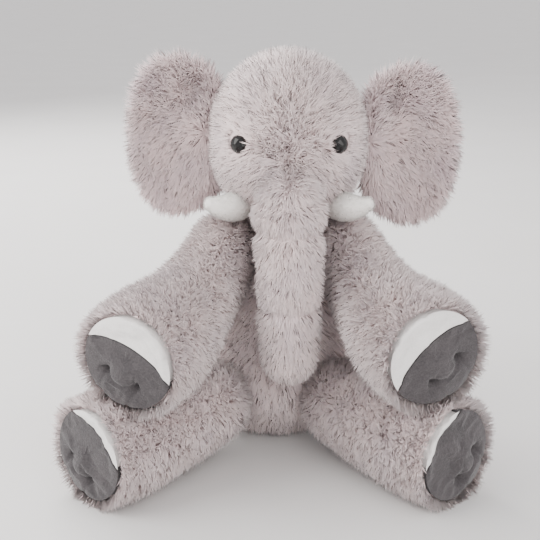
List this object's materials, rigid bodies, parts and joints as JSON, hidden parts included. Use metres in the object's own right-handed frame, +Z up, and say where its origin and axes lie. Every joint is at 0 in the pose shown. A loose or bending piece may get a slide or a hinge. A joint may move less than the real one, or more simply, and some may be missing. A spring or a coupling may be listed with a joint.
{
  "type": "stuffed elephant",
  "caption": "Seated stuffed elephant in long grey plush, with round ears, a hanging trunk, soft tusks, bead eyes, velvet soles and white toe panels.",
  "frame": {"origin": "centre of the torso's flat seat, on the surface that the elephant sits on", "axes": "+Z up, -Y the way the elephant faces, +X to the right of someone who looks at its face"},
  "size_m": [0.3902, 0.3638, 0.3997],
  "materials": {
    "grey_plush": "long, soft, matt pile",
    "ear_plush": "long, soft, matt pile, slightly pinker",
    "white_plush": "short, dense, matt pile",
    "tusk_plush": "short, dense, matt pile",
    "sole_velvet": "short velvet pile with a soft sheen",
    "eye_plastic": "glossy black",
    "washer_plastic": "plain moulded",
    "stuffing": "loose polyester fibre",
    "thread": "spun polyester"
  },
  "bodies": {
    "torso": {"torso_skin": "grey_plush", "torso_stuffing": "stuffing", "closing_seam_thread": "thread"},
    "neck": {"neck_skin": "grey_plush", "neck_stuffing": "stuffing"},
    "head": {"head_skin": "grey_plush", "head_stuffing": "stuffing", "eye_left": "eye_plastic", "eye_right": "eye_plastic", "eye_washer_left": "washer_plastic", "eye_washer_right": "washer_plastic", "tusk_skin_left": "tusk_plush", "tusk_skin_right": "tusk_plush", "tusk_stuffing_left": "stuffing", "tusk_stuffing_right": "stuffing"},
    "trunk_upper": {"trunk_upper_skin": "grey_plush", "trunk_upper_stuffing": "stuffing"},
    "trunk_lower": {"trunk_lower_skin": "grey_plush", "trunk_lower_stuffing": "stuffing"},
    "tail": {"tail_skin": "grey_plush", "tail_stuffing": "stuffing"},
    "ear_left": {"ear_front_left": "ear_plush", "ear_back_left": "ear_plush", "ear_padding_left": "stuffing"},
    "arm_left": {"arm_skin_left": "grey_plush", "arm_stuffing_left": "stuffing", "arm_sole_left": "sole_velvet", "arm_toe_panel_left": "white_plush", "arm_tuft_thread_left": "thread"},
    "leg_left": {"leg_skin_left": "grey_plush", "leg_stuffing_left": "stuffing", "leg_sole_left": "sole_velvet", "leg_toe_panel_left": "white_plush", "leg_tuft_thread_left": "thread"},
    "ear_right": {"ear_front_right": "ear_plush", "ear_back_right": "ear_plush", "ear_padding_right": "stuffing"},
    "arm_right": {"arm_skin_right": "grey_plush", "arm_stuffing_right": "stuffing", "arm_sole_right": "sole_velvet", "arm_toe_panel_right": "white_plush", "arm_tuft_thread_right": "thread"},
    "leg_right": {"leg_skin_right": "grey_plush", "leg_stuffing_right": "stuffing", "leg_sole_right": "sole_velvet", "leg_toe_panel_right": "white_plush", "leg_tuft_thread_right": "thread"}
  },
  "joints": [
    {"name": "neck_turn", "type": "hinge", "parent": "torso", "child": "neck", "pos_m": [0.016, -0.008, 0.236], "axis": [0, 0, 1], "range_deg": [-5, 5], "stiffness_Nm_per_rad": 0.6},
    {"name": "head_nod", "type": "hinge", "parent": "neck", "child": "head", "pos_m": [0.016, -0.008, 0.236], "axis": [1, 0, 0], "range_deg": [-20, 4], "stiffness_Nm_per_rad": 6},
    {"name": "ear_flap_left", "type": "hinge", "parent": "head", "child": "ear_left", "pos_m": [-0.0664, -0.012, 0.302], "axis": [0, 0, 1], "range_deg": [-20, 30], "stiffness_Nm_per_rad": 0.05},
    {"name": "ear_flap_right", "type": "hinge", "parent": "head", "child": "ear_right", "pos_m": [0.0984, -0.012, 0.292], "axis": [0, 0, -1], "range_deg": [-20, 30], "stiffness_Nm_per_rad": 0.05},
    {"name": "trunk_lift", "type": "hinge", "parent": "head", "child": "trunk_upper", "pos_m": [0.016, -0.10534, 0.2466], "axis": [-1, 0, 0], "range_deg": [0, 45], "stiffness_Nm_per_rad": 0.3},
    {"name": "trunk_curl", "type": "hinge", "parent": "trunk_upper", "child": "trunk_lower", "pos_m": [0.016, -0.124, 0.178], "axis": [-1, 0, 0], "range_deg": [0, 35], "stiffness_Nm_per_rad": 0.15},
    {"name": "arm_swing_left", "type": "hinge", "parent": "torso", "child": "arm_left", "pos_m": [-0.04698, -0.04729, 0.19588], "axis": [-0.4107, 0.4565, -0.7893], "range_deg": [0, 32], "stiffness_Nm_per_rad": 0.4},
    {"name": "arm_swing_right", "type": "hinge", "parent": "torso", "child": "arm_right", "pos_m": [0.07354, -0.04729, 0.19588], "axis": [-0.3782, -0.4046, 0.8326], "range_deg": [0, 32], "stiffness_Nm_per_rad": 0.4},
    {"name": "leg_spread_left", "type": "hinge", "parent": "torso", "child": "leg_left", "pos_m": [-0.06401, -0.09821, 0.052], "axis": [0, 0, -1], "range_deg": [0, 25], "stiffness_Nm_per_rad": 0.6},
    {"name": "leg_spread_right", "type": "hinge", "parent": "torso", "child": "leg_right", "pos_m": [0.07106, -0.09821, 0.052], "axis": [0, 0, 1], "range_deg": [0, 25], "stiffness_Nm_per_rad": 0.6},
    {"name": "tail_sway", "type": "hinge", "parent": "torso", "child": "tail", "pos_m": [0.00529, 0.08895, 0.078], "axis": [0, 0, 1], "range_deg": [-25, 25], "stiffness_Nm_per_rad": 0.005}
  ]
}
